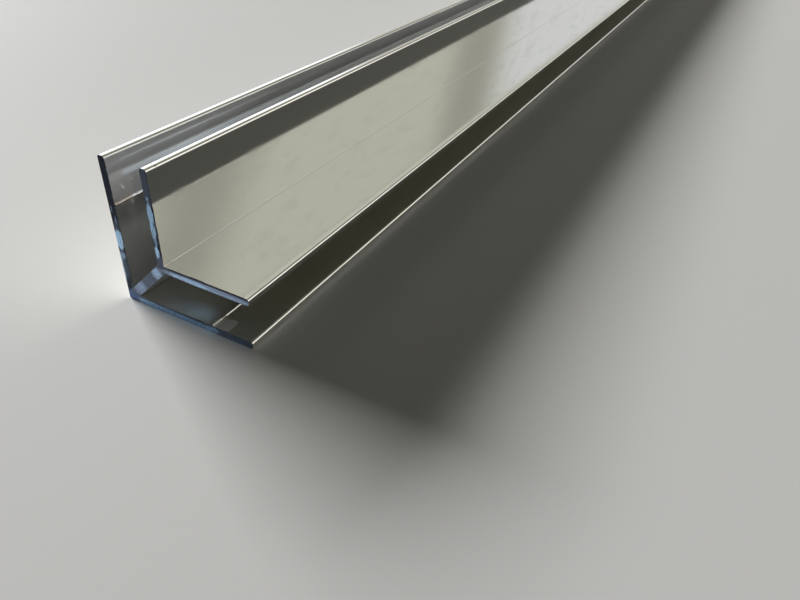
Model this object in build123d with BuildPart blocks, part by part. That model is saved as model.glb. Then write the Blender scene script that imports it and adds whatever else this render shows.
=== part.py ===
"""Corner profile: a straight aluminium extrusion that joins two boards at a right angle.

Two right-angled walls, one inside the other, are flush at their tips and joined by one
diagonal web. The gaps between them are two board slots, one open upwards and one open
sideways. The bar lies on one outer leg, along X, with its origin under its middle.
"""
import os
from math import isclose, sqrt

from build123d import *

# Driving sizes, in millimetres
length = 1000.0  # sawn length of the bar
leg = 30.0  # outer corner to the tips of both legs
wall = 1.5  # thickness of the outer and inner angles
slot = 8.0  # clear width between the two angles
web = 2.0  # thickness of the diagonal web
arris_radius = 0.5  # rounding along every leg tip
root_radius = 0.1  # rounding in the corners between walls and web
corner_radius = 0.3  # rounding along the outer corner
bead_radius = 0.3  # half-round bead that steadies the board in its slot
bead_inset = 9.3  # tip of the leg to the middle of the bead

# Places in the section, measured from the outer corner
inner = wall + slot  # slot side of the inner angle
inside_corner = inner + wall  # where the faces of the inner angle meet
web_offset = web / sqrt(2)  # half the web's footprint on a wall that it meets at 45 degrees
bead_place = leg - bead_inset

section_plane = Plane(origin=(-length / 2, -leg / 2, 0), x_dir=(0, 1, 0), z_dir=(1, 0, 0))
diagonal_plane = Plane(origin=(0, 0, 0), x_dir=(1, 1, 0), z_dir=(1, -1, 0))


def on_diagonal(vertex):
    """True for a corner of the section that lies on its line of symmetry."""
    return isclose(vertex.X, vertex.Y, abs_tol=1e-6)


with BuildPart() as corner_profile:
    with BuildSketch(section_plane) as section:
        # Half of the outline, from the outer corner round both tips to the inside corner
        with BuildLine():
            FilletPolyline(
                (0, 0),
                (leg, 0),
                (leg, wall),
                (wall + web_offset, wall),
                (inner + web_offset, inner),
                (leg, inner),
                (leg, inside_corner),
                (inside_corner, inside_corner),
                radius=[arris_radius, arris_radius, root_radius, root_radius, arris_radius, arris_radius],
            )
            mirror(about=diagonal_plane)
        make_face()
        fillet(section.vertices().filter_by(on_diagonal).sort_by(Axis.X)[0], corner_radius)
        fillet(section.vertices().filter_by(on_diagonal), root_radius)
        # One bead on the slot face of each outer leg
        with Locations((bead_place, wall), (wall, bead_place)):
            Circle(bead_radius)
    extrude(amount=length)

corner_profile.part.label = "corner_profile"
os.makedirs("parts", exist_ok=True)
export_step(corner_profile.part, "parts/corner_profile.step")
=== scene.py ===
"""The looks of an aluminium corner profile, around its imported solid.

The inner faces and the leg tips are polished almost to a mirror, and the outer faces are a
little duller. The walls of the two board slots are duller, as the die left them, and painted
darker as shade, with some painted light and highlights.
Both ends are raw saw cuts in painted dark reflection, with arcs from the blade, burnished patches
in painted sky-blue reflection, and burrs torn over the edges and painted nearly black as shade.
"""
from math import cos, pi, radians, sin
from random import Random

import bmesh
import bpy
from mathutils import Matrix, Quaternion, Vector


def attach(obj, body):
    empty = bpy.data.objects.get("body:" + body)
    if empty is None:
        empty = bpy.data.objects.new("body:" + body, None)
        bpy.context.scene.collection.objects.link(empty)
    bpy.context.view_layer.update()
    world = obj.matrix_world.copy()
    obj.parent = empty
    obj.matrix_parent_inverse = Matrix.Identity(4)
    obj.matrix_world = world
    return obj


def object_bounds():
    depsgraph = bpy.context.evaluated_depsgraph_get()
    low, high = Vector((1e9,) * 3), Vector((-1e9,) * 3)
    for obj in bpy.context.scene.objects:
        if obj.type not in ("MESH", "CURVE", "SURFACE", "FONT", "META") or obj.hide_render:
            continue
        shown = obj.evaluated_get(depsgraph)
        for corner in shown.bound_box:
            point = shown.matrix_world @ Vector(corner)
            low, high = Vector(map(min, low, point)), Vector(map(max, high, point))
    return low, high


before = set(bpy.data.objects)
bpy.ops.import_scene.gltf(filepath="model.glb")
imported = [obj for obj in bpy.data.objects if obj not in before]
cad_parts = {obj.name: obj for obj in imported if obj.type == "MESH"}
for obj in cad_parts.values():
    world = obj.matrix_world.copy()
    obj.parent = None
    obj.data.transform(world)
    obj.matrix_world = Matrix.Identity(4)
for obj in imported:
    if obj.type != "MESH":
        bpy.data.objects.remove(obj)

cad_low, cad_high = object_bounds()

# The bar's place, in metres, from its packed box
mm = 0.001
half_length = cad_high.x
corner_y = cad_low.y

# The section's sizes, in millimetres from its outer corner
leg = cad_high.z / mm
wall = 1.5
slot = 8.0
inner = wall + slot
inside_corner = inner + wall
bead_middle = leg - 9.3

# Colours, as linear red, green and blue
polished_metal = (0.87, 0.87, 0.85, 1)
slot_metal = (0.85, 0.86, 0.865, 1)
smudged_metal = (0.74, 0.74, 0.71, 1)
worn_metal = (0.42, 0.42, 0.40, 1)
# painted shade in the inside corner, and the colour of a nick in an arris
nick_and_corner_shade = (0.26, 0.26, 0.25, 1)
# painted highlight lines in the upright slot
slot_painted_gleam = (0.88, 0.93, 1.0, 1)
slot_shade = (0.72, 0.725, 0.72, 1)
# painted shade for the standing slot's root, top edge and far reaches
slot_painted_shade = (0.50, 0.50, 0.485, 1)
lying_slot_metal = (0.75, 0.745, 0.66, 1)
lying_mouth_metal = (0.74, 0.745, 0.72, 1)
# painted light at the lying slot's root near the end
lying_root_painted_light = (0.86, 0.86, 0.85, 1)
bead_stain = (0.50, 0.44, 0.38, 1)
# painted shade line along the upright slot's bead
crest_painted_shade = (0.10, 0.10, 0.10, 1)
# painted shade on the web's sides and the slot roots
web_painted_shade = (0.34, 0.34, 0.33, 1)
root_painted_shade = (0.22, 0.22, 0.20, 1)
dim_bead = (0.30, 0.29, 0.22, 1)
residue_grey = (0.95, 0.93, 0.95, 1)
residue_blue = (0.63, 0.81, 1.0, 1)
# The cut colours: the navy is a painted dark reflection, and the blue tints are painted sky reflection
cut_painted_dark_reflection = (0.012, 0.015, 0.030, 1)
cut_slate = (0.15, 0.19, 0.27, 1)
cut_steel = (0.35, 0.43, 0.60, 1)
cut_deep_blue = (0.09, 0.16, 0.36, 1)
cut_painted_sky_reflection = (0.46, 0.71, 1.0, 1)
# painted shade and painted glints on the burrs
burr_painted_shade = (0.03, 0.03, 0.035, 1)
burr_painted_glint = (0.22, 0.25, 0.30, 1)
floor_colour = (0.74, 0.735, 0.72, 1)
floor_grain_colour = (0.62, 0.615, 0.60, 1)
horizon_colour = (0.78, 0.78, 0.78, 1)
sky_colour = (0.72, 0.73, 0.74, 1)
room_colour = (0.555, 0.55, 0.475, 1)
window_colour = (1.6, 1.65, 1.7, 1)
strip_colour = (1.45, 1.40, 1.25, 1)
ceiling_colour = (0.14, 0.14, 0.12, 1)
overhead_colour = (1.05, 1.06, 1.07, 1)
black = (0, 0, 0, 1)

dull_light = 0.115  # share of the room's brightness that lights dull surfaces


class Value:
    """One output of a node. Its operators add Math nodes to the same shader."""

    def __init__(self, shader, socket):
        self.shader = shader
        self.socket = socket

    def maths(self, operation, first, second=0.0):
        return self.shader.add("Math", {"operation": operation}, {0: first, 1: second})

    def __add__(self, other):
        return self.maths("ADD", self, other)

    def __sub__(self, other):
        return self.maths("SUBTRACT", self, other)

    def __rsub__(self, other):
        return self.maths("SUBTRACT", other, self)

    def __mul__(self, other):
        return self.maths("MULTIPLY", self, other)

    def __truediv__(self, other):
        return self.maths("DIVIDE", self, other)

    def __pow__(self, other):
        return self.maths("POWER", self, other)

    def __abs__(self):
        return self.maths("ABSOLUTE", self)

    def least(self, other):
        return self.maths("MINIMUM", self, other)

    def most(self, other):
        return self.maths("MAXIMUM", self, other)

    __radd__ = __add__
    __rmul__ = __mul__


class Shader:
    """The nodes of one material or world."""

    def __init__(self, tree):
        self.tree = tree
        tree.nodes.clear()

    def add(self, kind, settings=None, sockets=None, output=0):
        """Makes a node, sets its settings and then its sockets, and returns one of its outputs."""
        node = self.tree.nodes.new("ShaderNode" + kind)
        for name, setting in (settings or {}).items():
            setattr(node, name, setting)
        for key, value in (sockets or {}).items():
            if isinstance(value, Value):
                self.tree.links.new(value.socket, node.inputs[key])
            else:
                node.inputs[key].default_value = value
        return Value(self, node.outputs[output]) if node.outputs else None

    def blend(self, share, first, second):
        """The first colour where share is 0, and the second where it is 1."""
        return self.add("Mix", {"data_type": "RGBA"}, {0: share, 6: first, 7: second}, 2)

    def mix(self, share, first, second):
        """The first number where share is 0, and the second where it is 1."""
        return self.add("Mix", {"data_type": "FLOAT"}, {0: share, 2: first, 3: second})

    def step(self, value, start, end):
        """Rises smoothly from 0 at start to 1 at end, or falls where start is the larger."""
        sockets = {"Value": value, "From Min": start, "From Max": end}
        return self.add("MapRange", {"interpolation_type": "SMOOTHSTEP"}, sockets)

    def band(self, value, low, high, edge):
        """1 between low and high, with soft edges."""
        return self.step(value, low - edge, low + edge) * self.step(value, high + edge, high - edge)

    def point(self, x, y, z):
        """A point from three numbers."""
        return self.add("CombineXYZ", {}, {0: x, 1: y, 2: z})

    def part(self, place, axis):
        """The X, Y or Z of a point."""
        return self.add("SeparateXYZ", {}, {0: place}, axis)

    def stretched(self, place, x, y, z):
        return self.add("VectorMath", {"operation": "MULTIPLY"}, {0: place, 1: (x, y, z)})

    def noise(self, place, scale=1.0, detail=2.0, roughness=0.5):
        sockets = {"Vector": place, "Scale": scale, "Detail": detail, "Roughness": roughness}
        return self.add("TexNoise", {}, sockets)

    def bump(self, height):
        """A normal from a height in millimetres."""
        return self.add("Bump", {}, {"Strength": 1.0, "Distance": mm, "Height": height})

    def surface(self, **sockets):
        """Ends the shader with a Principled surface."""
        named = {name.replace("_", " "): value for name, value in sockets.items()}
        principled = self.add("BsdfPrincipled", {}, named)
        self.add("OutputMaterial", {}, {"Surface": principled})


def new_material(name):
    material = bpy.data.materials.new(name)
    material.use_nodes = True
    return material, Shader(material.node_tree)


class Section:
    """Where a point of the bar lies, in millimetres, as values of one shader."""

    def __init__(self, shader):
        object_place = shader.add("TexCoord", {}, {}, "Object")
        self.place = shader.stretched(object_place, 1 / mm, 1 / mm, 1 / mm)
        self.along = shader.part(self.place, "X")
        self.across = shader.part(self.place, "Y") - corner_y / mm
        self.up = shader.part(self.place, "Z")
        # Both legs at once: how deep below their outer faces, and how far from the outer corner
        self.depth = self.across.least(self.up)
        self.reach = self.across.most(self.up)
        self.from_end = half_length / mm - abs(self.along)
        self.near_half = shader.step(self.along, -1.0, 1.0)
        self.standing = shader.step(self.up - self.across, -0.02, 0.02)


def spot(shader, first, second, centre, radii, soft=0.35):
    """1 inside an oval on two coordinates, falling to 0 over its soft rim."""
    sideways = (first - centre[0]) / radii[0]
    upwards = (second - centre[1]) / radii[1]
    return shader.step(sideways * sideways + upwards * upwards, 1 + soft, 1 - soft)


def spots(shader, first, second, soft, table):
    """The strongest of several ovals. A row gives an oval's centre, its radii and its strength."""
    total = None
    for centre_first, centre_second, radius_first, radius_second, strength in table:
        centre = (centre_first, centre_second)
        radii = (radius_first, radius_second)
        oval = spot(shader, first, second, centre, radii, soft) * strength
        total = oval if total is None else total.most(oval)
    return total


def die_lines(shader, place):
    """Fine lines along the bar, from 0 to 1, as the die leaves them."""
    coarse = shader.noise(shader.stretched(place, 0.004, 1.7, 1.7), 1.0, 3.0, 0.6)
    fine = shader.noise(shader.stretched(place, 0.012, 9.0, 9.0), 1.0, 2.0, 0.5)
    return coarse * 0.6 + fine * 0.4


class Finish:
    """One finish of the metal: colour, roughness, metallic share, and height in millimetres.

    A finish with no height of its own, such as a thin film, keeps the height of what it lies on.
    """

    def __init__(self, colour, roughness, metallic=1.0, height=None):
        self.colour = colour
        self.roughness = roughness
        self.metallic = metallic
        self.height = height

    def under(self, shader, share, other):
        """This finish where share is 0, and the other finish where it is 1."""
        height = self.height
        if other.height is not None:
            height = shader.mix(share, self.height, other.height)
        return Finish(
            shader.blend(share, self.colour, other.colour),
            shader.mix(share, self.roughness, other.roughness),
            shader.mix(share, self.metallic, other.metallic),
            height,
        )


def scratches(shader, first, second, slope, density):
    """Short fine scratches that lie along one slope of a face, from 0 to 1."""
    along = first * cos(slope) + second * sin(slope)
    aside = second * cos(slope) - first * sin(slope)
    place = shader.point(along * 0.12, aside * 5.0, slope * 7)
    return shader.step(shader.noise(place, 1.0, 2.0, 0.4), density, density + 0.06)


def polished_faces(shader, section, lines):
    """Bright anodised faces and leg tips, with a soft cloud, smudges and a few fine scratches."""
    place = section.place
    cloud = shader.noise(shader.stretched(place, 0.03, 0.12, 0.12), 1.0, 3.0, 0.55)
    smudge = shader.noise(shader.stretched(place, 0.09, 0.2, 0.2), 1.0, 4.0, 0.6)
    smudge = shader.step(smudge, 0.52, 0.72)
    scored = scratches(shader, section.along, section.reach, 0.5, 0.74)
    scored = scored.most(scratches(shader, section.along, section.reach, -0.9, 0.76))
    pits = shader.step(shader.noise(place, 2.6, 1.0, 0.3), 0.81, 0.84) * 0.7
    colour = shader.blend(smudge * 0.25, polished_metal, smudged_metal)
    near_specks = spots(shader, section.from_end, section.reach, 0.5, (
        (20.8, 20.5, 0.20, 0.16, 0.7),
        (20.9, 20.0, 0.12, 0.22, 0.9),
        (22.9, 16.1, 0.20, 0.14, 0.7),
        (23.3, 15.6, 0.12, 0.18, 0.6),
    )) * section.standing * section.near_half
    pits = pits.most(near_specks)
    colour = shader.blend((scored * 0.35).most(pits * 0.6), colour, worn_metal)
    roughness = 0.045 + cloud * 0.03 + smudge * 0.04 + lines * 0.02 + scored * 0.12
    return Finish(colour, roughness, 1 - smudge * 0.05, lines * 0.00008 + cloud * 0.0009)


def outer_faces(shader, section, lines):
    """The underside and the outer side, a little dulled by lying and sliding on racks."""
    rubs = shader.noise(shader.stretched(section.place, 0.015, 0.5, 0.5), 1.0, 4.0, 0.6)
    share = shader.step(section.depth, 0.05, 0.02) * shader.step(section.reach, leg - 0.6, leg - 1.6)
    colour = shader.blend(shader.step(rubs, 0.50, 0.75) * 0.5, smudged_metal, worn_metal)
    roughness = 0.20 + rubs * 0.16 + lines * 0.04
    return share * 0.9, Finish(colour, roughness, 1.0, lines * 0.0003 + rubs * 0.0006)


def inside_corner_line(shader, section):
    """A fine dark line painted in the inside corner as shade in the crease, fainter near the end, with
    a short dash near the end on the lying side.
    """
    in_corner = shader.step(section.depth, inside_corner - 0.02, inside_corner + 0.02)
    share = in_corner * shader.step(section.reach, inside_corner + 0.14, inside_corner + 0.08)
    share = share * shader.mix(shader.step(section.from_end, 6.0, 14.0), 0.25, 0.50)
    dash_place = (1.6, inside_corner + 0.12)
    dash = spot(shader, section.from_end, section.reach, dash_place, (0.42, 0.14))
    dash = dash * (1 - section.standing) * section.near_half
    return share.most(dash * 0.6), Finish(nick_and_corner_shade, 0.2)


def slot_walls(shader, section, lines):
    """The duller walls of the board slots, drawn by the die and hardly polished, with painted shade,
    painted light and painted highlight lines.
    """
    cloud = shader.noise(shader.stretched(section.place, 0.05, 0.25, 0.25), 1.0, 4.0, 0.6)
    outer_wall = shader.step(section.across, 2.2, 1.8) * section.standing
    above_bead = shader.step(section.up, 20.9, 21.4)
    mouth = above_bead * shader.step(section.up, 26.9, 26.2)

    # Two painted highlight lines along the upright slot, and the brow above them
    painted_highlight_lines = shader.band(section.up, 25.2, 26.2, 0.2)
    painted_highlight_lines = painted_highlight_lines + shader.band(section.up, 28.15, 28.45, 0.12) * 0.6
    gleam = painted_highlight_lines * shader.step(section.from_end, 2.6, 3.6)
    gleam = gleam * shader.step(section.from_end, 90.0, 10.0)
    brightest = shader.band(section.from_end, 13.0, 28.0, 7.0)
    brow = shader.step(section.up, 26.2, 26.9) * shader.step(section.up, 29.2, 28.3)
    brow = brow * shader.step(section.from_end, 80.0, 15.0)

    # Painted shade: the standing slot darkens at its root, along its top edge and further along the bar
    deep = shader.step(section.reach, 21.0, 13.0)
    top = shader.step(section.up, 27.4, 28.9)
    further = shader.step(section.from_end, 20.0, 55.0) * above_bead * outer_wall
    darker = (deep * 0.7).most(top * 0.4).most(further * 0.8)
    standing_metal = shader.blend(darker, slot_metal, slot_painted_shade)

    # Painted light: the lying slot is paler near the end, and most of all at its root
    near_end = shader.step(section.from_end, 16.0, 6.0)
    lying_metal = shader.blend(near_end, lying_slot_metal, lying_mouth_metal)
    root_share = shader.step(section.reach, 17.0, 9.0) * near_end
    lying_metal = shader.blend(root_share, lying_metal, lying_root_painted_light)

    colour = shader.blend(section.standing, lying_metal, standing_metal)
    colour = shader.blend(cloud * 0.35 + lines * 0.35, colour, slot_shade)
    # Painted highlight: pale blue gleam lines on the upright slot's outer wall
    colour = shader.blend(gleam * outer_wall * 0.9, colour, slot_painted_gleam)
    dulled = mouth * 0.20 + brow * 0.05 + gleam * (brightest * 0.16 + 0.12)
    bead = shader.band(section.reach, bead_middle - 0.34, bead_middle + 0.34, 0.04)
    # Kept above 0.27 off the bead, because the denoiser outlines any place where it crosses that
    roughness = 0.25 + cloud * 0.04 + lines * 0.05 + dulled * outer_wall - bead * 0.10
    return Finish(colour, roughness, 1.0, lines * 0.0012 + cloud * 0.001)


def tip_nick(shader, section):
    """A tiny nick in the arris of the inner standing leg."""
    nick_place = (2.3, inside_corner - 0.12)
    nick = spot(shader, section.from_end, section.across, nick_place, (0.35, 0.08))
    nick = nick * shader.step(section.up, leg - 0.4, leg - 0.3) * section.near_half
    return nick * 0.8, Finish(nick_and_corner_shade, 0.3)


def bead_crest(shader, section):
    """A fine dark line painted along the upright slot's bead as shade, which parts its gleam in two."""
    line_height = bead_middle + 0.03
    share = shader.band(section.up, line_height - 0.05, line_height + 0.05, 0.03)
    return share * section.standing * 0.8, Finish(crest_painted_shade, 0.3)


def web_sides(shader, section):
    """The web's two sides and the slot roots beside it, which no polish reaches, so rougher; painted
    dark as shade, darkest at the roots and on the lying side near the end.
    """
    beside_web = section.reach - section.depth
    root = shader.band(beside_web, 1.43, 1.72, 0.02) * shader.step(section.depth, 3.0, 2.0)
    lying_near = (1 - section.standing) * section.near_half
    foot = shader.step(section.from_end, 30.0, 12.0) * lying_near
    colour = shader.blend(root.most(foot * 0.45), web_painted_shade, root_painted_shade)
    roughness = 0.38 + foot * 0.12 + root * 0.2
    return shader.step(beside_web, 2.0, 1.7) * 0.92, Finish(colour, roughness)


def residue(shader, section):
    """A thin dried film in the mouths of the slots, and how high its drops stand in millimetres."""
    place = section.place
    drift = shader.noise(shader.stretched(place, 0.40, 0.40, 0.40), 1.0, 1.0, 0.4) - 0.5
    # The far end has the same film, a little nearer to its edge
    inward = section.from_end + drift * 1.3 + (1 - section.near_half) * 1.3
    upward = section.reach - drift * 1.6
    wall_veil = spots(shader, inward, upward, 0.8, (
        (2.6, 22.8, 2.9, 3.0, 0.68),
        (3.9, 18.2, 1.0, 3.6, 0.30),
    )) * shader.step(section.from_end, 5.3, 4.4)
    slanted = section.from_end + (section.up - 22.0) * 0.44 + (1 - section.near_half) * 0.9
    wall_drops = spots(shader, slanted, section.up + drift * 0.3, 0.7, (
        (3.14, 24.7, 0.17, 0.45, 0.60),
        (3.15, 23.25, 0.22, 0.55, 0.95),
        (5.59, 24.0, 0.16, 0.40, 0.80),
        (2.99, 20.1, 0.26, 0.75, 0.95),
    ))
    floor_veil = spot(shader, inward, upward, (1.9, 13.4), (2.8, 5.4), 1.0) * 0.36
    floor_veil = floor_veil + spot(shader, inward, upward, (2.4, 16.8), (2.8, 3.4), 1.0) * 0.34
    floor_veil = floor_veil + spot(shader, inward, upward, (2.0, 17.1), (1.1, 1.6), 1.0) * 0.16
    floor_drops = spots(shader, section.from_end, section.reach + drift * 0.6, 0.7, (
        (0.95, 16.4, 0.16, 0.42, 0.95),
        (1.74, 18.4, 0.30, 0.35, 0.80),
    ))
    wisps = shader.noise(shader.stretched(place, 0.5, 0.8, 0.8), 1.0, 2.0, 0.5)
    floor_veil = floor_veil * (0.6 + wisps * 0.8)
    film = shader.mix(section.standing, floor_veil.most(floor_drops), wall_veil.most(wall_drops))
    tint = shader.blend(section.standing, residue_blue, residue_grey)
    mound = shader.mix(section.standing, floor_drops, wall_drops)
    roughness = shader.mix(section.standing, 0.6, mound * 0.22 + 0.46)
    drop_height = 0.02
    return film.least(1.0), Finish(tint, roughness, 0.92), mound * drop_height


def tape_mark(shader, section):
    """The clear mark of a strip of tape across the lying slot's bead, with a paler rim."""
    middle_reach = 22.4
    middle_from_end = 1.35
    lean = section.from_end - (section.reach - middle_reach) * 0.22
    sideways = abs((section.reach - middle_reach) / 1.75)
    lengthways = abs((lean - middle_from_end) / 1.85)
    distance = (sideways ** 4.0 + lengthways ** 4.0) ** 0.25
    inside = shader.step(distance, 1.03, 0.97)
    rim = shader.band(distance, 0.86, 1.0, 0.06)
    share = (inside * 0.40).most(rim * 0.75)
    share = share * shader.step(section.standing, 0.5, 0.4) * section.near_half
    return share, Finish(residue_grey, 0.55, 0.85)


def stained_bead(shader, section):
    """The first millimetres of the beads: tan on the upright one, dim on the lying one."""
    on_bead = shader.band(section.reach, bead_middle - 0.36, bead_middle + 0.40, 0.06)
    clean_from = shader.mix(section.standing, 3.9, 4.6)
    stained_to = shader.mix(section.standing, 3.5, 3.4)
    start = shader.step(section.from_end, clean_from, stained_to)
    colour = shader.blend(section.standing, dim_bead, bead_stain)
    return on_bead * start * section.near_half * 0.85, Finish(colour, 0.42, 0.9)


def saw_marks(shader, section):
    """Lines left by the saw, from 0 to 1: arcs about a blade centre beyond the standing leg's tip."""
    blade_across = 95.0
    blade_up = 70.0
    sideways = section.across - blade_across
    upwards = section.up - blade_up
    radius = (sideways * sideways + upwards * upwards) ** 0.5
    feed = shader.noise(shader.point(radius * 2.6, sideways * 0.05, section.along), 1.0, 3.0)
    teeth = shader.noise(shader.point(radius * 9.0, sideways * 0.3, section.along), 1.0, 2.0)
    return feed * 0.6 + teeth * 0.4


def standing_cut(shader, along_wall, through_wall):
    """Slate and burnished shares of the near end's standing walls; the burnished share takes a painted
    sky reflection.
    """
    slate = spots(shader, along_wall, through_wall, 0.6, (
        (7.4, 0.7, 2.6, 0.9, 0.55),
        (10.0, 0.7, 1.0, 0.9, 0.95),
        (14.6, 0.8, 3.0, 0.9, 0.55),
        (20.0, 10.1, 3.6, 0.8, 0.45),
        (26.5, 10.1, 4.5, 0.9, 0.45),
        (11.0, 10.5, 2.0, 1.6, 0.7),
    ))
    rubbed_painted_sky = spots(shader, along_wall, through_wall, 0.3, (
        (13.3, 0.70, 2.1, 0.90, 1.00),
        (14.5, 0.75, 0.9, 1.10, 0.90),
        (10.1, 0.70, 0.7, 0.60, 0.40),
        (7.2, 0.12, 3.8, 0.26, 0.50),
        (21.4, 10.10, 2.2, 0.65, 0.72),
        (18.3, 10.05, 1.7, 0.60, 0.70),
        (16.1, 10.15, 1.1, 0.45, 0.40),
        (13.8, 10.00, 1.3, 0.50, 1.00),
        (24.4, 10.00, 0.35, 0.30, 0.70),
        (17.6, 0.95, 0.8, 0.12, 0.40),
        (19.6, 0.50, 0.7, 0.12, 0.35),
    ))
    return slate, rubbed_painted_sky


def lying_cut(shader, section, along_wall, through_wall):
    """Slate and burnished shares of the near end's lying walls; the burnished share takes a painted sky
    reflection. The outer one is burnished in specks.
    """
    slate = spots(shader, along_wall, through_wall, 0.6, (
        (15.0, 10.1, 5.5, 1.0, 1.00),
        (25.5, 10.1, 6.0, 1.0, 0.95),
        (9.0, 0.65, 12.0, 1.0, 1.00),
        (24.0, 0.75, 8.0, 1.2, 0.95),
    ))
    rubbed_painted_sky = spots(shader, along_wall, through_wall, 0.3, (
        (16.8, 9.95, 4.4, 0.36, 0.95),
        (18.4, 9.90, 2.4, 0.42, 1.00),
        (13.4, 10.05, 1.3, 0.30, 0.75),
        (24.0, 9.80, 5.0, 0.20, 0.45),
        (27.4, 9.95, 2.4, 0.22, 0.40),
        (11.5, 0.25, 9.5, 0.20, 0.35),
        (20.6, 0.60, 1.6, 0.55, 0.70),
        (25.0, 0.30, 4.0, 0.16, 0.25),
    ))
    top_edge = shader.step(section.depth, 10.62, 10.80) * shader.step(section.reach, 11.6, 12.4)
    return slate * (1 - top_edge), rubbed_painted_sky


def speckled_cut(shader, section):
    """Pale specks along the lower part of the near end's lying outer wall, in painted sky reflection.
    """
    grit = shader.noise(section.place, 3.2, 3.0, 0.7)
    rows = shader.band(section.across, 2.6, 20.8, 0.8) * shader.step(section.up, 1.25, 0.90)
    return shader.step(grit, 0.38, 0.54) * rows * section.near_half


def steel_share(shader, section, along_wall, through_wall, mottle):
    """Where the near end's cut is a lighter steel: the web and the lying inner wall."""
    lying_wall = spot(shader, along_wall, through_wall, (21.0, 10.0), (11.0, 0.60), 0.8)
    lying_wall = lying_wall * (1 - section.standing) * shader.step(section.depth, 10.80, 10.62)
    web = spots(shader, along_wall, through_wall, 0.8, (
        (8.9, 8.7, 1.4, 1.3, 1.00),
        (6.3, 6.1, 1.5, 1.4, 0.15),
        (3.7, 3.5, 1.9, 1.8, 0.75),
    ))
    return (lying_wall * (0.35 + mottle * 1.1)).most(web * (0.55 + mottle * 0.7))


def near_cut(shader, section, along_wall, through_wall, mottle):
    """Slate, steel and burnished shares of the near end; the burnished share takes a painted sky
    reflection.
    """
    standing_slate, standing_rubbed_painted_sky = standing_cut(shader, along_wall, through_wall)
    lying_slate, lying_rubbed_painted_sky = lying_cut(shader, section, along_wall, through_wall)
    web = shader.step(section.reach - section.depth, 1.7, 1.4)
    web = web * shader.step(section.reach, 11.0, 10.0) * 0.85
    web_rubbed_painted_sky = spots(shader, along_wall, through_wall, 0.9, (
        (8.8, 8.6, 0.9, 0.9, 0.75),
        (4.0, 3.8, 0.9, 0.9, 0.35),
    )) * shader.step(shader.noise(section.place, 1.3, 2.0, 0.5), 0.35, 0.60)
    slate = shader.mix(section.standing, lying_slate, standing_slate).most(web)
    rubbed_painted_sky = shader.mix(section.standing, lying_rubbed_painted_sky, standing_rubbed_painted_sky).most(web_rubbed_painted_sky)
    steel = steel_share(shader, section, along_wall, through_wall, mottle)
    return slate, steel, rubbed_painted_sky


def sawn_ends(shader, section):
    """Raw cuts: painted dark reflection in navy, slate where the blade cut, and painted pale-blue sky
    reflection where it burnished them.
    """
    place = section.place
    marks = saw_marks(shader, section)
    mottle = shader.noise(place, 2.2, 4.0, 0.7)
    tear_place = shader.point(section.reach * 0.7, section.depth * 1.6, section.along)
    tear = shader.noise(tear_place, 1.3, 5.0, 0.75) - 0.5
    streak_place = shader.point(section.reach * 0.35, section.depth * 4.5, section.along)
    streak = shader.noise(streak_place, 1.0, 3.0, 0.6)
    # Places along and through the walls, torn about so that no patch has a clean rim
    along_wall = section.reach + tear * 2.2
    through_wall = section.depth + (tear + mottle - 0.5) * 0.55

    # The near end is placed patch by patch, and the far end has blotches of its own
    near = near_cut(shader, section, along_wall, through_wall, mottle)
    near_slate, near_steel, near_rubbed_painted_sky = near
    blotch = shader.noise(shader.point(along_wall * 0.22, through_wall * 0.6, 3.7), 1.0, 2.0)
    slate = shader.mix(section.near_half, shader.step(blotch, 0.38, 0.60), near_slate)
    rubbed_painted_sky = shader.mix(section.near_half, shader.step(blotch, 0.56, 0.64), near_rubbed_painted_sky)
    web = shader.step(section.reach - section.depth, 1.9, 1.5)
    rubbed_painted_sky = rubbed_painted_sky * shader.step(streak, 0.30, 0.50).most(web)

    # Painted reflection: navy is a painted dark reflection, and the pale blue is a painted sky
    # reflection
    colour = shader.blend((slate * (0.35 + mottle * 0.9)).least(1.0), cut_painted_dark_reflection, cut_slate)
    colour = shader.blend(shader.step(marks, 0.48, 0.70) * 0.35, colour, cut_slate)
    outer_corner = spot(shader, section.across, section.up, (0.6, 0.6), (1.6, 1.6), 0.8)
    colour = shader.blend(outer_corner * section.near_half * 0.7, colour, cut_deep_blue)
    colour = shader.blend((near_steel * section.near_half).least(1.0), colour, cut_steel)
    rubbed_painted_sky = rubbed_painted_sky.most(speckled_cut(shader, section) * 0.85)
    colour = shader.blend((rubbed_painted_sky * (0.3 + mottle * 1.4)).least(1.0), colour, cut_painted_sky_reflection)
    return Finish(colour, 0.42 - rubbed_painted_sky * 0.12 + marks * 0.12, 1.0, marks * 0.03 + mottle * 0.02)


def aluminium():
    """The bar's finishes, told apart by where they lie in the section."""
    material, shader = new_material("bright_aluminium_finish")
    section = Section(shader)
    lines = die_lines(shader, section.place)
    metal = polished_faces(shader, section, lines)
    metal = metal.under(shader, *outer_faces(shader, section, lines))
    metal = metal.under(shader, *inside_corner_line(shader, section))
    metal = metal.under(shader, *tip_nick(shader, section))
    walls = slot_walls(shader, section, lines)
    walls = walls.under(shader, *web_sides(shader, section))
    walls = walls.under(shader, *bead_crest(shader, section))
    film, dried, mound = residue(shader, section)
    walls = walls.under(shader, film, dried)
    walls.height = walls.height + mound
    walls = walls.under(shader, *stained_bead(shader, section))
    walls = walls.under(shader, *tape_mark(shader, section))
    in_slot = shader.band(section.depth, wall - 0.12, inner + 0.12, 0.06)
    metal = metal.under(shader, in_slot, walls)
    on_end = shader.step(section.from_end, 0.012, 0.004)
    metal = metal.under(shader, on_end, sawn_ends(shader, section))
    shader.surface(
        Base_Color=metal.colour,
        Metallic=metal.metallic,
        Roughness=metal.roughness,
        Normal=shader.bump(metal.height),
    )
    return material


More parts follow.
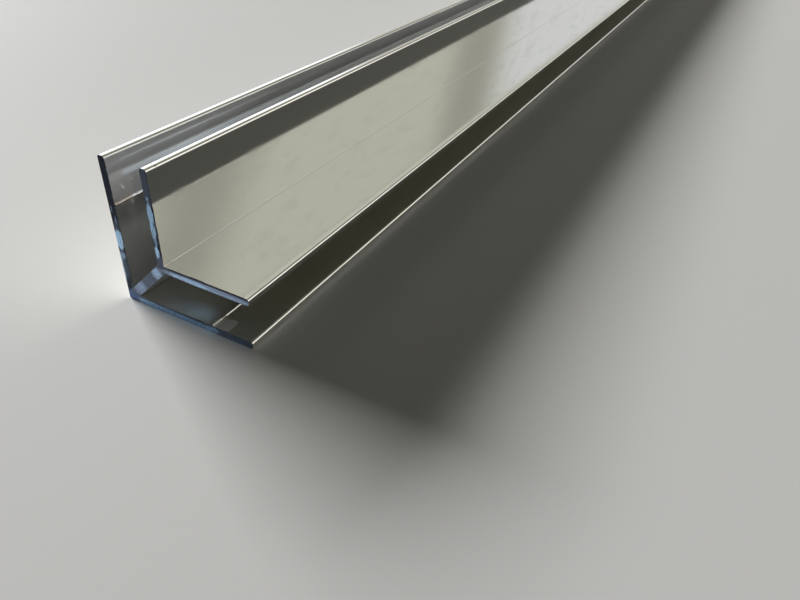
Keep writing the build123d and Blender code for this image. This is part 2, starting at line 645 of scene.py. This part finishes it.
def torn_metal():
    """The burrs: torn aluminium painted nearly black as shade, with small bright faces as painted
    glints.
    """
    material, shader = new_material("torn_aluminium_painted_shade")
    place = Section(shader).place
    grain = shader.noise(place, 5.0, 4.0, 0.7)
    colour = shader.blend(shader.step(grain, 0.45, 0.7), burr_painted_shade, burr_painted_glint)
    normal = shader.bump(grain * 0.04)
    shader.surface(Base_Color=colour, Metallic=1.0, Roughness=0.3 + grain * 0.3, Normal=normal)
    return material


def burr_heights(random, count, height, gaps):
    """Ragged heights along one edge, in millimetres: a slow swell, tall teeth, and low gaps."""
    lowest = 0.012
    tall_share = 0.12
    heights = []
    swell = random.uniform(0, 1)
    for _ in range(count):
        swell = min(1.0, max(0.0, swell + random.uniform(-0.16, 0.16)))
        if random.random() > tall_share:
            tooth = random.uniform(0.55, 1.0)
        else:
            tooth = random.uniform(1.0, 1.5)
        torn = height * swell * tooth
        heights.append(lowest if random.random() < gaps else max(lowest, torn))
    return heights


def burr(mesh, random, side, start, end, outward, height, gaps):
    """A closed ragged ridge that stands outward from one edge of a sawn end."""
    step_length = 0.16 * mm  # from one ring of the ridge to the next
    foot = 0.04 * mm  # how deep it is rooted in the wall
    back = 0.22 * mm  # how far it runs back from the cut
    sunk = 0.004 * mm  # how far it stays behind the cut's plane
    taper = 3  # steps over which each end of the ridge rises
    span = end - start
    count = max(3, int(span.length / step_length))
    face = side * (half_length - sunk)
    rings = []
    for number, tall in enumerate(burr_heights(random, count + 1, height, gaps)):
        ends_taper = min(1.0, number / taper, (count - number) / taper)
        middle = start + span * (number / count)
        root = middle - outward * foot
        crest = middle + outward * tall * ends_taper * mm
        lean = side * random.uniform(0.0, 0.05) * mm
        rings.append([
            mesh.verts.new((face, root.x, root.y)),
            mesh.verts.new((face - lean, crest.x, crest.y)),
            mesh.verts.new((face - side * back * random.uniform(0.6, 1.0), root.x, root.y)),
        ])
    for one, two in zip(rings, rings[1:]):
        for corner in range(3):
            following = (corner + 1) % 3
            mesh.faces.new((one[corner], one[following], two[following], two[corner]))
    mesh.faces.new(rings[0])
    mesh.faces.new(reversed(rings[-1]))


def burrs(name, side, seed, edges, material):
    """The burrs of one sawn end as one piece. Each edge is given in section millimetres."""
    random = Random(seed)
    mesh = bmesh.new()
    for start, end, outward, height, gaps in edges:
        first = Vector((corner_y + start[0] * mm, start[1] * mm))
        last = Vector((corner_y + end[0] * mm, end[1] * mm))
        burr(mesh, random, side, first, last, Vector(outward), height, gaps)
    bmesh.ops.recalc_face_normals(mesh, faces=mesh.faces)
    data = bpy.data.meshes.new(name)
    mesh.to_mesh(data)
    mesh.free()
    data.materials.append(material)
    piece = bpy.data.objects.new(name, data)
    bpy.context.scene.collection.objects.link(piece)
    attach(piece, "root")


def toward(azimuth, elevation):
    """The direction at an azimuth, anticlockwise from +X, and an elevation, in degrees."""
    flat = cos(radians(elevation))
    return Vector((flat * cos(radians(azimuth)), flat * sin(radians(azimuth)), sin(radians(elevation))))


def seen_ray(shader):
    """1 for what is seen, straight or in the metal, and 0 for the light on dull surfaces."""
    straight = shader.add("LightPath", {}, {}, "Is Camera Ray")
    mirrored = shader.add("LightPath", {}, {}, "Is Glossy Ray")
    return straight.most(mirrored)


def floor_paper():
    """Pale paper near the bar, which pales into the horizon further off."""
    paper_ends = 0.8
    horizon_starts = 2.2
    material, shader = new_material("floor_paper")
    place = shader.add("TexCoord", {}, {}, "Object")
    grain = shader.noise(place, 900.0, 3.0, 0.6)
    colour = shader.blend(grain * 0.12, floor_colour, floor_grain_colour)
    sockets = {"Base Color": colour, "Roughness": 0.75, "Specular IOR Level": 0.15}
    paper = shader.add("BsdfPrincipled", {}, sockets)
    horizon = shader.add("Emission", {}, {"Color": horizon_colour})
    distance = shader.add("VectorMath", {"operation": "LENGTH"}, {0: place}, "Value")
    share = shader.step(distance, paper_ends, horizon_starts) * seen_ray(shader)
    both = shader.add("MixShader", {}, {0: share, 1: paper, 2: horizon})
    shader.add("OutputMaterial", {}, {"Surface": both})
    material.cycles.emission_sampling = "NONE"
    return material


def make_floor():
    """A wide pale floor, just under the bar."""
    reach = 60.0
    drop = 0.05 * mm  # how far it lies below the bar, so that no faces meet
    mesh = bpy.data.meshes.new("floor")
    corners = [
        (-reach, -reach, -drop),
        (reach, -reach, -drop),
        (reach, reach, -drop),
        (-reach, reach, -drop),
    ]
    mesh.from_pydata(corners, [], [(0, 1, 2, 3)])
    floor = bpy.data.objects.new("floor", mesh)
    bpy.context.scene.collection.objects.link(floor)
    mesh.materials.append(floor_paper())


def glow(shader, direction, azimuth, elevation, inner_angle, outer_angle):
    """1 near one direction of the room, falling to 0 at the outer angle."""
    middle = toward(azimuth, elevation)
    share = shader.add("VectorMath", {"operation": "DOT_PRODUCT"}, {0: direction, 1: middle}, "Value")
    return shader.step(share, cos(radians(outer_angle)), cos(radians(inner_angle)))


def make_room():
    """A plain cream room above a pale horizon, which only the metal sees in full."""
    world = bpy.data.worlds.new("room")
    bpy.context.scene.world = world
    world.use_nodes = True
    shader = Shader(world.node_tree)
    direction = shader.add("TexCoord", {}, {}, "Generated")
    onward = shader.part(direction, "X")
    side = shader.part(direction, "Y")
    height = shader.part(direction, "Z")
    seen = seen_ray(shader)

    # A cream wall with two soft shaded strips, a paler far side, and the horizon below
    shade = shader.band(side, 0.595, 0.67, 0.035) + shader.band(side, 0.312, 0.368, 0.018)
    colour = shader.blend(shade * 0.36, room_colour, black)
    far_side = shader.band(side, 0.02, 0.305, 0.02) * shader.step(height, 0.5, 0.3)
    colour = shader.blend(far_side, colour, sky_colour)
    colour = shader.blend(shader.step(height, 0.17, 0.08), colour, horizon_colour)

    # Down the bar, a bright low strip and a dark ceiling, as turns about the bar's length
    turn = shader.add("Math", {"operation": "ARCTAN2"}, {0: height, 1: side})
    down_the_bar = shader.step(onward, -0.40, -0.50) * seen
    strip = shader.band(turn, radians(-8), radians(26), 0.04) * down_the_bar
    colour = shader.blend(strip, colour, strip_colour)
    ceiling = shader.band(turn, radians(53), radians(97), 0.05) * down_the_bar
    colour = shader.blend(ceiling, colour, ceiling_colour)

    # A soft light overhead and a window, as azimuth, elevation, inner and outer angle in degrees
    overhead = glow(shader, direction, 35, 60, 30, 52) * seen
    colour = shader.blend(overhead, colour, overhead_colour)
    window = glow(shader, direction, 226, 15, 10, 17)
    colour = shader.blend(window, colour, window_colour)

    # The camera itself sees only the pale horizon
    straight = shader.add("LightPath", {}, {}, "Is Camera Ray")
    colour = shader.blend(straight, colour, horizon_colour)
    strength = shader.mix(seen, dull_light, 1.0)
    background = shader.add("Background", {}, {"Color": colour, "Strength": strength})
    shader.add("OutputWorld", {}, {"Surface": background})
    world.cycles.sampling_method = "NONE"


def softbox(name, azimuth, elevation, distance, width, height, brightness):
    """A soft lamp that faces the bar's near end. Its brightness is what it shows in a mirror."""
    data = bpy.data.lights.new(name, "AREA")
    data.shape = "RECTANGLE"
    data.size = width
    data.size_y = height
    data.energy = brightness * width * height * pi
    lamp = bpy.data.objects.new(name, data)
    bpy.context.scene.collection.objects.link(lamp)
    away = toward(azimuth, elevation)
    lamp.location = Vector((half_length * 0.8, 0, 0)) + away * distance
    lamp.rotation_mode = "QUATERNION"
    lamp.rotation_quaternion = away.to_track_quat("Z", "Y")


def make_camera():
    """The photograph's view of the near end, with its slight roll."""
    place = Vector((half_length + 69.5 * mm, corner_y + 92.4 * mm, 78.4 * mm))
    aim = Vector((half_length - 27.3 * mm, corner_y + 45.4 * mm, 0))
    roll = 3.55
    data = bpy.data.cameras.new("camera")
    data.sensor_width = 36
    data.lens = 29.69
    data.clip_start = 5 * mm
    camera = bpy.data.objects.new("camera", data)
    bpy.context.scene.collection.objects.link(camera)
    camera.location = place
    camera.rotation_mode = "QUATERNION"
    level = (aim - place).to_track_quat("-Z", "Y")
    camera.rotation_quaternion = level @ Quaternion((0, 0, 1), radians(roll))
    bpy.context.scene.camera = camera


def dress_bar():
    """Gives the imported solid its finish."""
    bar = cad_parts["corner_profile"]
    bar.data.materials.clear()
    bar.data.materials.append(aluminium())


# Cut edges with burrs: start and end in the section, outward direction, height, share of gaps
near_edges = (
    ((11.0, 12.0), (11.0, 23.6), (1, 0), 0.30, 0.10),
    ((11.0, 23.6), (11.0, 29.2), (1, 0), 0.08, 0.40),
    ((11.4, 11.0), (20.4, 11.0), (0, 1), 0.26, 0.10),
    ((20.4, 11.0), (29.2, 11.0), (0, 1), 0.07, 0.45),
    ((1.5, 3.6), (1.5, 12.0), (1, 0), 0.20, 0.15),
    ((1.5, 12.0), (1.5, 29.2), (1, 0), 0.08, 0.35),
    ((9.5, 11.4), (9.5, 29.2), (-1, 0), 0.10, 0.30),
    ((3.6, 1.5), (18.8, 1.5), (0, 1), 0.07, 0.30),
    ((21.4, 1.5), (29.2, 1.5), (0, 1), 0.06, 0.45),
    ((11.4, 9.5), (29.2, 9.5), (0, -1), 0.12, 0.25),
)
far_edges = (
    ((11.0, 12.0), (11.0, 29.2), (1, 0), 0.14, 0.30),
    ((11.4, 11.0), (29.2, 11.0), (0, 1), 0.16, 0.25),
    ((1.5, 3.6), (1.5, 29.2), (1, 0), 0.12, 0.30),
    ((9.5, 11.4), (9.5, 29.2), (-1, 0), 0.10, 0.30),
    ((3.6, 1.5), (20.3, 1.5), (0, 1), 0.10, 0.30),
    ((11.4, 9.5), (29.2, 9.5), (0, -1), 0.12, 0.25),
)

dress_bar()
torn = torn_metal()
burrs("burrs_near_end", 1, 4, near_edges, torn)
burrs("burrs_far_end", -1, 9, far_edges, torn)
make_floor()
make_room()
softbox("window_lamp", azimuth=255, elevation=23, distance=12.0, width=6.2, height=2.0, brightness=58.0)
make_camera()
bpy.context.scene.view_settings.view_transform = "Standard"
bpy.context.scene.cycles.glossy_bounces = 12  # the walls of a slot mirror each other many times
